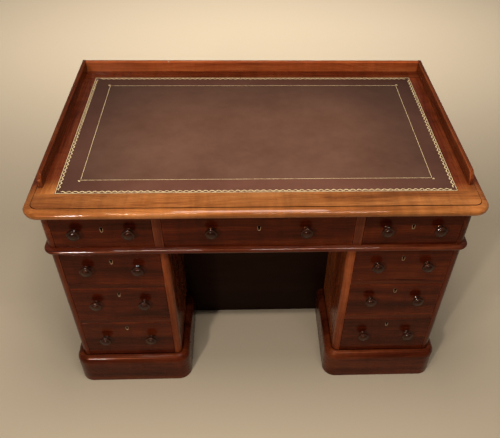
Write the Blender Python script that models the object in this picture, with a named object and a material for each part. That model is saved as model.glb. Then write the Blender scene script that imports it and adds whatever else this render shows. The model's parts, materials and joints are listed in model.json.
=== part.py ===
"""A pedestal writing desk: leather-lined top with a low gallery, three frieze drawers and two
pedestals of three drawers.

Metres, +Z up, front towards -Y. The origin is on the floor, under the middle of the top board.
"""

import math

import bmesh
import bpy
from mathutils import Matrix, Vector

# Overall sizes.
TOP_WIDTH = 1.219
TOP_DEPTH = 0.770
SURFACE_HEIGHT = 0.750

# Top board: a nose moulding runs round the front and both ends.
TOP_THICKNESS = 0.024
TOP_CORNER_RADIUS = 0.043
NOSE_DEPTH = 0.022
NOSE_STEP = 0.0016
NOSE_UNDERCUT = 0.006
NOSE_LOWER_HEIGHT = 0.011

# Leather skiver, let into the top board.
LEATHER_THICKNESS = 0.0010
LEATHER_SIDE_MARGIN = 0.0735
LEATHER_FRONT_MARGIN = 0.081
LEATHER_BACK_MARGIN = 0.059

# Gallery on the back and the two ends of the top.
GALLERY_HEIGHT = 0.036
GALLERY_THICKNESS = 0.0124
GALLERY_SIDE_MARGIN = 0.026
GALLERY_BACK_MARGIN = 0.0017
GALLERY_FRONT_MARGIN = 0.106
GALLERY_END_RADIUS = 0.030

# Upper case (frieze) under the top board.
FRONT_OVERHANG = 0.029
SIDE_OVERHANG = 0.0325
BACK_OVERHANG = 0.020
FRIEZE_HEIGHT = 0.123
PARTITION_THICKNESS = 0.025
CENTRE_DRAWER_WIDTH = 0.521
CASE_CORNER_RADIUS = 0.018
SIDE_THICKNESS = 0.0225
BACK_THICKNESS = 0.012

# Base board of the upper case, whose edge is the half-round waist bead.
BEAD_HEIGHT = 0.018
BEAD_OUTSET = 0.0140

# Pedestals: each drawer is deeper than the one above it by the graduation.
PEDESTAL_WIDTH = 0.325
RAIL_THICKNESS = 0.020
TOP_RAIL_THICKNESS = 0.009
DRAWER_GRADUATION = 0.022
HOUSING_DEPTH = 0.006
HOUSING_STOP = 0.025

# Plinths: a straight face with an ovolo above it.
PLINTH_HEIGHT = 0.118
PLINTH_OUTSET = 0.024
PLINTH_WALL = 0.020
DECK_THICKNESS = 0.018

# Modesty panel across the kneehole.
PANEL_THICKNESS = 0.018
PANEL_SETBACK = 0.308
PANEL_FLOOR_GAP = 0.003

# Drawers.
DRAWER_FRONT_THICKNESS = 0.020
DRAWER_SIDE_THICKNESS = 0.009
DRAWER_BOTTOM_THICKNESS = 0.006
DRAWER_GAP = 0.0012
RUNNING_GAP = 0.0005
DRAWER_HEAD_ROOM = 0.010
DRAWER_BACK_ROOM = 0.020

# Turned knobs with a spigot let into the drawer front.
KNOB_RADIUS = 0.0175
KNOB_PROJECTION = 0.0265
KNOB_COLLAR_RADIUS = 0.0105
KNOB_COLLAR_HEIGHT = 0.0035
KNOB_NECK_RADIUS = 0.0070
KNOB_SPIGOT_RADIUS = 0.0050
KNOB_SPIGOT_LENGTH = 0.0120
KNOB_HEAD_HEIGHT = 0.0170
KNOB_SPACING = 0.144
CENTRE_KNOB_SPACING = 0.256
KNOB_RISE = 0.008

# Clearance between pieces that touch.
FIT_GAP = 0.0003

CORNER_STEPS = 7
MOULDING_STEPS = 6
KNOB_SIDES = 16

# Places that follow from the sizes.
TOP_UNDERSIDE = SURFACE_HEIGHT - TOP_THICKNESS
TOP_EDGE_X = TOP_WIDTH / 2
FRONT_EDGE_Y = -TOP_DEPTH / 2
BACK_EDGE_Y = TOP_DEPTH / 2
CASE_X = TOP_EDGE_X - SIDE_OVERHANG
CASE_FRONT_Y = FRONT_EDGE_Y + FRONT_OVERHANG
CASE_BACK_Y = BACK_EDGE_Y - BACK_OVERHANG
BASE_TOP = TOP_UNDERSIDE - FRIEZE_HEIGHT
BASE_BOTTOM = BASE_TOP - BEAD_HEIGHT
BACK_FACE_Y = CASE_BACK_Y - BACK_THICKNESS
OPENING_X = CASE_X - SIDE_THICKNESS


def clear_scene():
    for old in list(bpy.data.objects):
        bpy.data.objects.remove(old, do_unlink=True)


def finish(name, colour, roughness, metallic=0.0):
    """A plain Principled material of the piece's colour."""
    made = bpy.data.materials.new(name)
    made.use_nodes = True
    shader = made.node_tree.nodes["Principled BSDF"]
    shader.inputs["Base Color"].default_value = (*colour, 1.0)
    shader.inputs["Roughness"].default_value = roughness
    shader.inputs["Metallic"].default_value = metallic
    return made


def polished_mahogany(name):
    return finish(name + "_mahogany", (0.11, 0.030, 0.014), 0.22)


def turned_mahogany(name):
    return finish(name + "_dark_mahogany", (0.035, 0.014, 0.009), 0.20)


def lining_wood(name):
    return finish(name + "_lining_wood", (0.38, 0.25, 0.14), 0.60)


def skiver_leather(name):
    return finish(name + "_leather", (0.10, 0.045, 0.032), 0.45)


def add_object(name, bm, make_finish, parent=None, smooth=False):
    """Turns a bmesh in world coordinates into a named object, under a parent where it has one."""
    bmesh.ops.recalc_face_normals(bm, faces=bm.faces[:])
    origin = parent.location.copy() if parent else Vector((0.0, 0.0, 0.0))
    bmesh.ops.translate(bm, verts=bm.verts[:], vec=-origin)
    mesh = bpy.data.meshes.new(name)
    bm.to_mesh(mesh)
    bm.free()
    if smooth:
        mesh.shade_smooth()
        mesh.set_sharp_from_angle(angle=math.radians(40))
    added = bpy.data.objects.new(name, mesh)
    bpy.context.scene.collection.objects.link(added)
    added.parent = parent
    mesh.materials.append(make_finish(name))
    return added


def block_mesh(low, high):
    """A box between two opposite corners."""
    bm = bmesh.new()
    middle = (Vector(low) + Vector(high)) / 2
    size = Vector(high) - Vector(low)
    place = Matrix.Translation(middle) @ Matrix.Diagonal((*size, 1.0))
    bmesh.ops.create_cube(bm, size=1.0, matrix=place)
    return bm


def prism_mesh(outline, start, end):
    """A flat outline, given in the plane at start, pushed along the vector end - start."""
    bm = bmesh.new()
    face = bm.faces.new([bm.verts.new(Vector(point) + Vector(start)) for point in outline])
    pushed = bmesh.ops.extrude_face_region(bm, geom=[face])["geom"]
    moved = [item for item in pushed if isinstance(item, bmesh.types.BMVert)]
    bmesh.ops.translate(bm, verts=moved, vec=Vector(end) - Vector(start))
    return bm


def ring_mesh(rings):
    """Closed rings of equally many points, joined one to the next and capped at both ends."""
    bm = bmesh.new()
    rows = [[bm.verts.new(point) for point in ring] for ring in rings]
    count = len(rows[0])
    for below, above in zip(rows, rows[1:]):
        for i in range(count):
            j = (i + 1) % count
            bm.faces.new((below[i], below[j], above[j], above[i]))
    bm.faces.new(rows[0][::-1])
    bm.faces.new(rows[-1])
    return bm


def quarter(radius_across, radius_up, steps):
    """Points of a quarter ellipse, from (0, 0) out and up to (radius_across, radius_up)."""
    for step in range(steps + 1):
        angle = math.pi / 2 * step / steps
        yield radius_across * (1 - math.cos(angle)), radius_up * math.sin(angle)


def front_rounded_outline(x_low, x_high, y_low, y_high, radius, height):
    """A rectangle seen from above, with its two front corners rounded and its back ones square."""
    points = []
    for centre_x, first_angle in ((x_low + radius, math.pi), (x_high - radius, 1.5 * math.pi)):
        for step in range(CORNER_STEPS + 1):
            angle = first_angle + math.pi / 2 * step / CORNER_STEPS
            x = centre_x + radius * math.cos(angle)
            y = y_low + radius + radius * math.sin(angle)
            points.append(Vector((x, y, height)))
    points.append(Vector((x_high, y_high, height)))
    points.append(Vector((x_low, y_high, height)))
    return points


def cut(host, cutter_mesh, name):
    """Cuts a hidden shape out of an object with an exact Boolean."""
    cutter = add_object(name, cutter_mesh, lining_wood)
    cutter.hide_render = True
    cutter.display_type = "WIRE"
    boolean = host.modifiers.new(name, "BOOLEAN")
    boolean.operation = "DIFFERENCE"
    boolean.solver = "EXACT"
    boolean.object = cutter


def top_board():
    """The board with its nose moulding, and the shallow bed that the leather lies in."""
    lower = [
        (NOSE_UNDERCUT - across, TOP_UNDERSIDE + up)
        for up, across in quarter(NOSE_LOWER_HEIGHT, NOSE_UNDERCUT, MOULDING_STEPS // 2)
    ]
    nose_height = TOP_THICKNESS - NOSE_LOWER_HEIGHT - NOSE_STEP
    upper = [
        (across, TOP_UNDERSIDE + NOSE_LOWER_HEIGHT + up)
        for across, up in quarter(NOSE_DEPTH, nose_height, MOULDING_STEPS)
    ]
    profile = lower + upper[1:] + [(NOSE_DEPTH, SURFACE_HEIGHT)]
    rings = [
        front_rounded_outline(
            inset - TOP_EDGE_X,
            TOP_EDGE_X - inset,
            FRONT_EDGE_Y + inset,
            BACK_EDGE_Y,
            TOP_CORNER_RADIUS - inset,
            height,
        )
        for inset, height in profile
    ]
    board = add_object("top_board", ring_mesh(rings), polished_mahogany, smooth=True)
    leather_x = TOP_EDGE_X - LEATHER_SIDE_MARGIN
    leather_low_y = FRONT_EDGE_Y + LEATHER_FRONT_MARGIN
    leather_high_y = BACK_EDGE_Y - LEATHER_BACK_MARGIN
    bed_height = SURFACE_HEIGHT - LEATHER_THICKNESS - FIT_GAP
    bed = block_mesh(
        (-leather_x - FIT_GAP, leather_low_y - FIT_GAP, bed_height),
        (leather_x + FIT_GAP, leather_high_y + FIT_GAP, SURFACE_HEIGHT + TOP_THICKNESS),
    )
    cut(board, bed, "leather_bed")
    skiver = block_mesh(
        (-leather_x, leather_low_y, SURFACE_HEIGHT - LEATHER_THICKNESS),
        (leather_x, leather_high_y, SURFACE_HEIGHT),
    )
    add_object("leather_skiver", skiver, skiver_leather)


def gallery():
    """Two end boards with rounded front ends, and a back board between them."""
    outer_x = TOP_EDGE_X - GALLERY_SIDE_MARGIN
    inner_x = outer_x - GALLERY_THICKNESS
    back_y = BACK_EDGE_Y - GALLERY_BACK_MARGIN
    front_y = FRONT_EDGE_Y + GALLERY_FRONT_MARGIN
    foot = SURFACE_HEIGHT + FIT_GAP
    head = SURFACE_HEIGHT + GALLERY_HEIGHT
    outline = [(0.0, front_y, foot)]
    for across, up in quarter(GALLERY_END_RADIUS, GALLERY_END_RADIUS, CORNER_STEPS):
        outline.append((0.0, front_y + across, head - GALLERY_END_RADIUS + up))
    outline += [(0.0, back_y, head), (0.0, back_y, foot)]
    for side, sign in (("left", -1), ("right", 1)):
        board = prism_mesh(outline, (sign * inner_x, 0.0, 0.0), (sign * outer_x, 0.0, 0.0))
        add_object("gallery_" + side, board, polished_mahogany, smooth=True)
    back = block_mesh(
        (FIT_GAP - inner_x, back_y - GALLERY_THICKNESS, foot),
        (inner_x - FIT_GAP, back_y, head),
    )
    add_object("gallery_back", back, polished_mahogany)


def rounded_side(name, inner_x, outer_x, foot, head):
    """An upright side board whose exposed front corner, at outer_x, is rounded."""
    sign = 1 if outer_x > inner_x else -1
    outline = [(inner_x, CASE_BACK_Y, 0.0), (inner_x, CASE_FRONT_Y, 0.0)]
    for up, across in quarter(CASE_CORNER_RADIUS, CASE_CORNER_RADIUS, CORNER_STEPS):
        corner_x = outer_x - sign * (CASE_CORNER_RADIUS - across)
        outline.append((corner_x, CASE_FRONT_Y + up, 0.0))
    outline.append((outer_x, CASE_BACK_Y, 0.0))
    board = prism_mesh(outline, (0.0, 0.0, foot), (0.0, 0.0, head))
    return add_object(name, board, polished_mahogany, smooth=True)


def frieze():
    """The upper case: two ends, a back, two partitions and the base board with the waist bead."""
    foot = BASE_TOP + FIT_GAP
    head = TOP_UNDERSIDE - FIT_GAP
    for side, sign in (("left", -1), ("right", 1)):
        rounded_side("frieze_end_" + side, sign * OPENING_X, sign * CASE_X, foot, head)
        near_x = sign * CENTRE_DRAWER_WIDTH / 2
        far_x = sign * (CENTRE_DRAWER_WIDTH / 2 + PARTITION_THICKNESS)
        partition = block_mesh(
            (min(near_x, far_x), CASE_FRONT_Y, foot),
            (max(near_x, far_x), BACK_FACE_Y - FIT_GAP, head),
        )
        add_object("frieze_partition_" + side, partition, polished_mahogany)
    back = block_mesh(
        (FIT_GAP - OPENING_X, BACK_FACE_Y, foot),
        (OPENING_X - FIT_GAP, CASE_BACK_Y, head),
    )
    add_object("frieze_back", back, polished_mahogany)
    rings = []
    for step in range(2 * MOULDING_STEPS + 1):
        angle = math.pi * step / (2 * MOULDING_STEPS)
        outset = BEAD_OUTSET * math.sin(angle)
        height = BASE_BOTTOM + BEAD_HEIGHT * (1 - math.cos(angle)) / 2
        ring = front_rounded_outline(
            -CASE_X - outset,
            CASE_X + outset,
            CASE_FRONT_Y - outset,
            CASE_BACK_Y,
            CASE_CORNER_RADIUS + outset,
            height,
        )
        rings.append(ring)
    add_object("frieze_base", ring_mesh(rings), polished_mahogany, smooth=True)


def plinth_profile(gap):
    """(outset from the pedestal, height) up the plinth's face, grown by a gap: straight, then ovolo."""
    radius = PLINTH_OUTSET + gap
    points = [(radius, 0.0)]
    for across, up in quarter(radius, radius, MOULDING_STEPS):
        points.append((radius - across, PLINTH_HEIGHT - PLINTH_OUTSET + up))
    return points


def plinth(name, low_x, high_x):
    """A hollow plinth, open underneath, with a deck that carries the pedestal and its last drawer."""
    rings = [
        front_rounded_outline(
            low_x - outset,
            high_x + outset,
            CASE_FRONT_Y - outset,
            CASE_BACK_Y,
            CASE_CORNER_RADIUS + outset,
            height,
        )
        for outset, height in plinth_profile(0.0)
    ]
    inner = PLINTH_OUTSET - PLINTH_WALL
    for height in (PLINTH_HEIGHT - DECK_THICKNESS, 0.0):
        hollow = front_rounded_outline(
            low_x - inner,
            high_x + inner,
            CASE_FRONT_Y - inner,
            CASE_BACK_Y - PLINTH_WALL,
            CASE_CORNER_RADIUS + inner,
            height,
        )
        rings.insert(0, hollow)
    rings[0], rings[1] = rings[1], rings[0]
    add_object(name, ring_mesh(rings), polished_mahogany, smooth=True)


def divider(name, low_x, high_x, foot, sides):
    """A full-depth dust board: its front edge is a rail, and behind it the ends are let into the sides."""
    stop_y = CASE_FRONT_Y + HOUSING_STOP
    back_y = BACK_FACE_Y - FIT_GAP
    near = low_x + FIT_GAP
    far = high_x - FIT_GAP
    housed_near = low_x - HOUSING_DEPTH
    housed_far = high_x + HOUSING_DEPTH
    outline = [
        (near, CASE_FRONT_Y, 0.0),
        (far, CASE_FRONT_Y, 0.0),
        (far, stop_y, 0.0),
        (housed_far, stop_y, 0.0),
        (housed_far, back_y, 0.0),
        (housed_near, back_y, 0.0),
        (housed_near, stop_y, 0.0),
        (near, stop_y, 0.0),
    ]
    board = prism_mesh(outline, (0.0, 0.0, foot), (0.0, 0.0, foot + RAIL_THICKNESS))
    add_object(name, board, polished_mahogany)
    for side in sides:
        housing = block_mesh(
            (housed_near - FIT_GAP, stop_y - FIT_GAP, foot - FIT_GAP),
            (housed_far + FIT_GAP, back_y + FIT_GAP, foot + RAIL_THICKNESS + FIT_GAP),
        )
        cut(side, housing, side.name + "_housing_" + name)


def pedestal(side, sign):
    """Plinth, two sides, a back and two dividers; returns the openings for its three drawers."""
    outer_x = sign * CASE_X
    inner_x = sign * (CASE_X - PEDESTAL_WIDTH)
    low_x = min(outer_x, inner_x)
    high_x = max(outer_x, inner_x)
    plinth("plinth_" + side, low_x, high_x)
    foot = PLINTH_HEIGHT + FIT_GAP
    head = BASE_BOTTOM - FIT_GAP
    lining = sign * SIDE_THICKNESS
    outer = rounded_side("pedestal_outer_side_" + side, outer_x - lining, outer_x, foot, head)
    inner = rounded_side("pedestal_inner_side_" + side, inner_x + lining, inner_x, foot, head)
    open_low = low_x + SIDE_THICKNESS
    open_high = high_x - SIDE_THICKNESS
    back = block_mesh(
        (open_low + FIT_GAP, BACK_FACE_Y, foot),
        (open_high - FIT_GAP, CASE_BACK_Y, head),
    )
    add_object("pedestal_back_" + side, back, polished_mahogany)
    rail_foot = BASE_BOTTOM - TOP_RAIL_THICKNESS
    middle_height = (rail_foot - PLINTH_HEIGHT - 2 * RAIL_THICKNESS) / 3
    lower_foot = PLINTH_HEIGHT + middle_height + DRAWER_GRADUATION
    upper_foot = lower_foot + RAIL_THICKNESS + middle_height
    divider("divider_lower_" + side, open_low, open_high, lower_foot, (outer, inner))
    divider("divider_upper_" + side, open_low, open_high, upper_foot, (outer, inner))
    return {
        "top": (open_low, open_high, upper_foot + RAIL_THICKNESS, rail_foot),
        "middle": (open_low, open_high, lower_foot + RAIL_THICKNESS, upper_foot),
        "bottom": (open_low, open_high, PLINTH_HEIGHT, lower_foot),
    }


def modesty_panel():
    """A panel between the pedestals, scribed round the plinths."""
    inner_x = CASE_X - PEDESTAL_WIDTH
    front_y = FRONT_EDGE_Y + PANEL_SETBACK
    right = [
        (inner_x - outset, front_y, max(height, PANEL_FLOOR_GAP))
        for outset, height in plinth_profile(FIT_GAP)
    ]
    right[-1] = (inner_x - FIT_GAP, front_y, PLINTH_HEIGHT + FIT_GAP)
    right.append((inner_x - FIT_GAP, front_y, BASE_BOTTOM - FIT_GAP))
    left = [(-x, y, z) for x, y, z in reversed(right)]
    panel = prism_mesh(right + left, (0.0, 0.0, 0.0), (0.0, PANEL_THICKNESS, 0.0))
    add_object("modesty_panel", panel, polished_mahogany)


def knob_mesh(centre_x, centre_z):
    """A turned mushroom knob whose axis runs along Y, with its spigot inside the drawer front."""
    profile = [
        (-KNOB_SPIGOT_LENGTH, 0.0),
        (-KNOB_SPIGOT_LENGTH, KNOB_SPIGOT_RADIUS),
        (FIT_GAP, KNOB_SPIGOT_RADIUS),
        (FIT_GAP, KNOB_COLLAR_RADIUS),
        (KNOB_COLLAR_HEIGHT, KNOB_COLLAR_RADIUS),
        (KNOB_COLLAR_HEIGHT, KNOB_NECK_RADIUS),
    ]
    head_middle = KNOB_PROJECTION - KNOB_HEAD_HEIGHT / 2
    for step in range(1, MOULDING_STEPS + 1):
        angle = math.pi * step / MOULDING_STEPS
        out = head_middle - KNOB_HEAD_HEIGHT / 2 * math.cos(angle)
        profile.append((out, KNOB_RADIUS * math.sin(angle)))
    profile[-1] = (KNOB_PROJECTION, 0.0)
    bm = bmesh.new()
    line = [bm.verts.new((centre_x + r, CASE_FRONT_Y - out, centre_z)) for out, r in profile]
    edges = [bm.edges.new(pair) for pair in zip(line, line[1:])]
    bmesh.ops.spin(
        bm,
        geom=line + edges,
        cent=(centre_x, CASE_FRONT_Y, centre_z),
        axis=(0.0, 1.0, 0.0),
        angle=2 * math.pi,
        steps=KNOB_SIDES,
    )
    bmesh.ops.remove_doubles(bm, verts=bm.verts[:], dist=1e-5)
    return bm


def spigot_hole_mesh(centre_x, centre_z):
    """The round hole that a knob's spigot is glued into."""
    bm = bmesh.new()
    depth = KNOB_SPIGOT_LENGTH + FIT_GAP
    proud = KNOB_SPIGOT_RADIUS
    middle = Vector((centre_x, CASE_FRONT_Y + (depth - proud) / 2, centre_z))
    # Flats of a many-sided hole lie inside its circle, so the circle is drawn larger by that much.
    radius = (KNOB_SPIGOT_RADIUS + FIT_GAP) / math.cos(math.pi / KNOB_SIDES)
    bmesh.ops.create_cone(
        bm,
        cap_ends=True,
        segments=KNOB_SIDES,
        radius1=radius,
        radius2=radius,
        depth=depth + proud,
        matrix=Matrix.Translation(middle) @ Matrix.Rotation(math.pi / 2, 4, "X"),
    )
    return bm


def drawer(name, opening, knob_spacing, knob_rise):
    """Front, box and two knobs on an empty, filling an opening (low x, high x, low z, high z)."""
    low_x, high_x, low_z, high_z = opening
    middle_x = (low_x + high_x) / 2
    middle_z = (low_z + high_z) / 2
    slide = bpy.data.objects.new(name, None)
    slide.location = (middle_x, CASE_FRONT_Y, middle_z)
    bpy.context.scene.collection.objects.link(slide)
    front_back_y = CASE_FRONT_Y + DRAWER_FRONT_THICKNESS
    front_mesh = block_mesh(
        (low_x + DRAWER_GAP, CASE_FRONT_Y, low_z + DRAWER_GAP),
        (high_x - DRAWER_GAP, front_back_y, high_z - DRAWER_GAP),
    )
    front = add_object(name + "_front", front_mesh, polished_mahogany, slide)
    knob_z = middle_z + knob_rise
    for side, sign in (("left", -1), ("right", 1)):
        knob_x = middle_x + sign * knob_spacing / 2
        knob_name = name + "_knob_" + side
        add_object(knob_name, knob_mesh(knob_x, knob_z), turned_mahogany, slide, smooth=True)
        cut(front, spigot_hole_mesh(knob_x, knob_z), knob_name + "_hole")
    box_low = Vector((low_x + DRAWER_GAP, front_back_y + FIT_GAP, low_z + RUNNING_GAP))
    box_high = Vector((high_x - DRAWER_GAP, BACK_FACE_Y - DRAWER_BACK_ROOM, high_z - DRAWER_HEAD_ROOM))
    box = add_object(name + "_box", block_mesh(box_low, box_high), lining_wood, slide)
    wall = DRAWER_SIDE_THICKNESS
    inside = block_mesh(
        box_low + Vector((wall, -wall, DRAWER_BOTTOM_THICKNESS)),
        box_high + Vector((-wall, -wall, wall)),
    )
    cut(box, inside, name + "_inside")


def main():
    clear_scene()
    top_board()
    gallery()
    frieze()
    modesty_panel()
    for side, sign in (("left", -1), ("right", 1)):
        for tier, opening in pedestal(side, sign).items():
            drawer(side + "_" + tier + "_drawer", opening, KNOB_SPACING, KNOB_RISE)
        near_x = sign * (CENTRE_DRAWER_WIDTH / 2 + PARTITION_THICKNESS)
        far_x = sign * OPENING_X
        opening = (min(near_x, far_x), max(near_x, far_x), BASE_TOP, TOP_UNDERSIDE)
        drawer("frieze_" + side + "_drawer", opening, KNOB_SPACING, 0.0)
    centre = (-CENTRE_DRAWER_WIDTH / 2, CENTRE_DRAWER_WIDTH / 2, BASE_TOP, TOP_UNDERSIDE)
    drawer("frieze_centre_drawer", centre, CENTRE_KNOB_SPACING, 0.0)


main()
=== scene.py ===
"""The looks of a mahogany pedestal writing desk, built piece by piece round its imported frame."""

import json

import bpy
import numpy as np
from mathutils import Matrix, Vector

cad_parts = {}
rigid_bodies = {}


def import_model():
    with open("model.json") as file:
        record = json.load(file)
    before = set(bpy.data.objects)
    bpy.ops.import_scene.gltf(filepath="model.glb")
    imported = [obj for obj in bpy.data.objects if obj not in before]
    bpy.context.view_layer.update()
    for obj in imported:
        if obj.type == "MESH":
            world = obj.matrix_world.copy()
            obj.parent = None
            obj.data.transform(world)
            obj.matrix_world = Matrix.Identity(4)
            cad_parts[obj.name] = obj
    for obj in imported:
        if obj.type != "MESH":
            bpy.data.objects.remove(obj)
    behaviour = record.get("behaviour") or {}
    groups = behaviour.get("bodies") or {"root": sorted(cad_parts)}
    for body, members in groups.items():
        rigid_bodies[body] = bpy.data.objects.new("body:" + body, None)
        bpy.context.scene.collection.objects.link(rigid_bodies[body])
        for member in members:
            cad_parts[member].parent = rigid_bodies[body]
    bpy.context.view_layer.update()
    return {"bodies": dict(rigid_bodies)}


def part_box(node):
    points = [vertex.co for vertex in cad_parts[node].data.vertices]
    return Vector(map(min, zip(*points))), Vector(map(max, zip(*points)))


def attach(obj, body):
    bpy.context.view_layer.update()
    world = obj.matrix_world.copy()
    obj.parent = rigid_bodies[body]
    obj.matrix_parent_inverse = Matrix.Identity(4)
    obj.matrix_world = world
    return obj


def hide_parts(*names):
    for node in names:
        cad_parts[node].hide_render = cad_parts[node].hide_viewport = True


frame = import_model()


# ----------------------------------------------------------
# Shapes. Every piece is made of closed solids, each of rings that are joined in order.

SHARP_ANGLE = np.radians(32)
SUPPORT = 0.003
EASE = 0.0008
SQUARE = 0.0005
LEAST_RADIUS = 0.0002
TIGHT_RADIUS = 0.005
ROUNDED_WEAR = 0.25
CLEARANCE = 0.0003
SIDES = (("left", -1), ("right", 1))
AXES = {"x": [1, 2, 0], "y": [2, 0, 1], "z": [0, 1, 2]}


def outline(box, radii, steps):
    """A closed rectangle (a low, a high, b low, b high) with arcs for corners, each the corner's
    centre plus its radius times cosine and sine, and a point on the flat next to each arc. Also
    each point's wear: most on tight corners, less on round ones, none on the flats."""
    a_low, a_high, b_low, b_high = box
    turn = np.linspace(0.0, np.pi / 2, steps)
    arcs = []
    for first, far_a, far_b, radius in zip(
        (np.pi, 1.5 * np.pi, 0.0, 0.5 * np.pi), (0, 1, 1, 0), (0, 0, 1, 1), radii
    ):
        centre_a = a_high - radius if far_a else a_low + radius
        centre_b = b_high - radius if far_b else b_low + radius
        angle = first + turn
        arcs.append(np.stack([centre_a + radius * np.cos(angle), centre_b + radius * np.sin(angle)], 1))
    points, worn = [], []
    for arc, following, radius in zip(arcs, arcs[1:] + arcs[:1], radii):
        side = following[:1] - arc[-1:]
        reach = min(SUPPORT / max(np.linalg.norm(side), 1e-6), 0.3)
        points += [arc, arc[-1:] + side * reach, following[:1] - side * reach]
        worn += [np.full(steps, 1.0 if radius < TIGHT_RADIUS else ROUNDED_WEAR), [0.0, 0.0]]
    return np.concatenate(points), np.concatenate(worn)


def closed_solid(rings, wear, looped=False):
    """Points, faces and wear of a solid whose rings are joined one to the next by four-sided
    faces. The ends are capped, or joined to each other when looped. A negative signed volume,
    summed over the faces' triangles, means that every face has to be turned over."""
    rings = np.asarray(rings, float)
    levels, count, _ = rings.shape
    points = rings.reshape(-1, 3)
    here = np.arange(count)
    there = (here + 1) % count
    below = (np.arange(levels if looped else levels - 1) * count)[:, None]
    above = (below + count) % (levels * count)
    walls = np.stack([below + here, below + there, above + there, above + here], -1).reshape(-1, 4)
    fans = [walls[:, [0, 1, 2]], walls[:, [0, 2, 3]]]
    faces = walls.tolist()
    if not looped:
        last = (levels - 1) * count
        fans.append(np.stack([np.zeros(count - 2, int), here[2:], here[1:-1]], 1))
        fans.append(np.stack([np.zeros(count - 2, int), here[1:-1], here[2:]], 1) + last)
        faces += [here[::-1].tolist(), (here + last).tolist()]
    triangles = points[np.concatenate(fans)] - points[0]
    if np.einsum("ij,ij->", triangles[:, 0], np.cross(triangles[:, 1], triangles[:, 2])) < 0:
        faces = [face[::-1] for face in faces]
    return welded(points, faces, np.broadcast_to(wear, (levels, count)).reshape(-1))


def welded(points, faces, wear):
    """The same solid with points that coincide made one, and without the faces this leaves with
    no area, which have fewer than three different corners."""
    _, first, index = np.unique(np.round(points, 7), axis=0, return_index=True, return_inverse=True)
    kept = []
    for face in faces:
        corners = index.reshape(-1)[face].tolist()
        corners = [c for c, before in zip(corners, corners[-1:] + corners[:-1]) if c != before]
        if len(corners) > 2:
            kept.append(corners)
    return points[first], kept, wear[first]


def stacked(box, radii, levels, axis="z", sides=(1, 1, 1, 1), steps=5):
    """A solid of outlines stacked along an axis. Each level is (height, inset, wear): the box is
    drawn in by the inset, times its share for each of the four sides, and the radii less that. An
    inset of four numbers is used as it stands. A wear above zero leaves a corner its own where
    that is more. A wear below zero, or None for no wear at all, holds all round the level."""
    rings, wear = [], []
    for height, inset, worn in levels:
        insets = np.array(sides, float) * inset if np.isscalar(inset) else np.array(inset)
        drawn_in = np.array(box) + insets * (1, -1, 1, -1)
        corner_inset = [max(insets[i], insets[j]) for i, j in ((0, 2), (1, 2), (1, 3), (0, 3))]
        rounds = [max(radius - less, LEAST_RADIUS) for radius, less in zip(radii, corner_inset)]
        flat, corners = outline(drawn_in, rounds, steps)
        ring = np.concatenate([flat, np.full((len(flat), 1), height)], 1)
        rings.append(ring[:, np.argsort(AXES[axis])])
        if worn is None or worn < 0:
            wear.append(np.full(len(corners), worn or 0.0))
        else:
            wear.append(np.maximum(corners, worn))
    return closed_solid(rings, np.array(wear))


def eased_levels(low, high, ease):
    """Levels of a plain board: at each end a quarter circle of the ease, with its wear, and a
    level on each side of it where the wear has ended."""
    turn = np.linspace(0.0, np.pi / 2, 4)
    inset = ease * (1 - np.sin(turn))
    rise = ease * (1 - np.cos(turn))
    foot = [(low, ease + SUPPORT / 2, None)] + [(low + r, i, 1.0) for r, i in zip(rise, inset)]
    head = [(low + high - height, i, worn) for height, i, worn in foot[::-1]]
    support = min(SUPPORT, (high - low) / 4)
    return foot + [(low + support, 0.0, 0.0), (high - support, 0.0, 0.0)] + head


def board(low, high, ease=EASE, radii=None, axis="z", sides=(1, 1, 1, 1), steps=5):
    """A board between two corners, its arrises eased, its long corners rounded by the radii."""
    first, second, third = AXES[axis]
    box = (low[first], high[first], low[second], high[second])
    rounds = radii or (ease,) * 4
    return stacked(box, rounds, eased_levels(low[third], high[third], ease), axis, sides, steps)


def piece(name, solids, finishes, body, replaces=(), chosen=None):
    """One object from closed solids, each with one of the finishes, smooth up to the sharp angle
    and riding on a body. Its wear attribute is 1 along the arrises that hands rub, and -1 in the
    quirks, which the finishes paint darker."""
    starts = np.cumsum([0] + [len(points) for points, _, _ in solids])
    faces = [[c + start for c in face] for start, solid in zip(starts, solids) for face in solid[1]]
    mesh = bpy.data.meshes.new(name)
    mesh.from_pydata(np.concatenate([solid[0] for solid in solids]).tolist(), [], faces)
    wear = mesh.attributes.new("wear", "FLOAT", "POINT")
    wear.data.foreach_set("value", np.concatenate([solid[2] for solid in solids]).astype(np.float32))
    for finish in finishes:
        mesh.materials.append(finish)
    counts = [len(solid[1]) for solid in solids]
    mesh.polygons.foreach_set("material_index", np.repeat(chosen or [0] * len(solids), counts))
    mesh.shade_smooth()
    mesh.set_sharp_from_angle(angle=SHARP_ANGLE)
    made = bpy.data.objects.new(name, mesh)
    bpy.context.scene.collection.objects.link(made)
    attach(made, body)
    if replaces:
        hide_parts(*replaces)
    return made


# ----------------------------------------------------------
# Materials. The desk's are procedural, painted on Object coordinates and some on the wear too.


def feed(tree, made, inputs):
    """Give each of a node's inputs its value, or its link where that is another node's output."""
    for key, value in inputs.items():
        if isinstance(value, bpy.types.NodeSocket):
            tree.links.new(value, made.inputs[key])
        else:
            made.inputs[key].default_value = value


def node(tree, kind, inputs=None, **settings):
    """A new shader node with its settings and inputs."""
    made = tree.nodes.new("ShaderNode" + kind)
    for key, value in settings.items():
        setattr(made, key, value)
    feed(tree, made, inputs or {})
    return made


def noise(tree, vector, scale, detail=2.0, roughness=0.5, distortion=0.0):
    """Noise of a vector that is first stretched by a scale for each axis."""
    stretched = node(tree, "VectorMath", {0: vector, 1: scale}, operation="MULTIPLY").outputs[0]
    look = {"Scale": 1.0, "Detail": detail, "Roughness": roughness, "Distortion": distortion}
    return node(tree, "TexNoise", {"Vector": stretched, **look}).outputs["Fac"]


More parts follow.
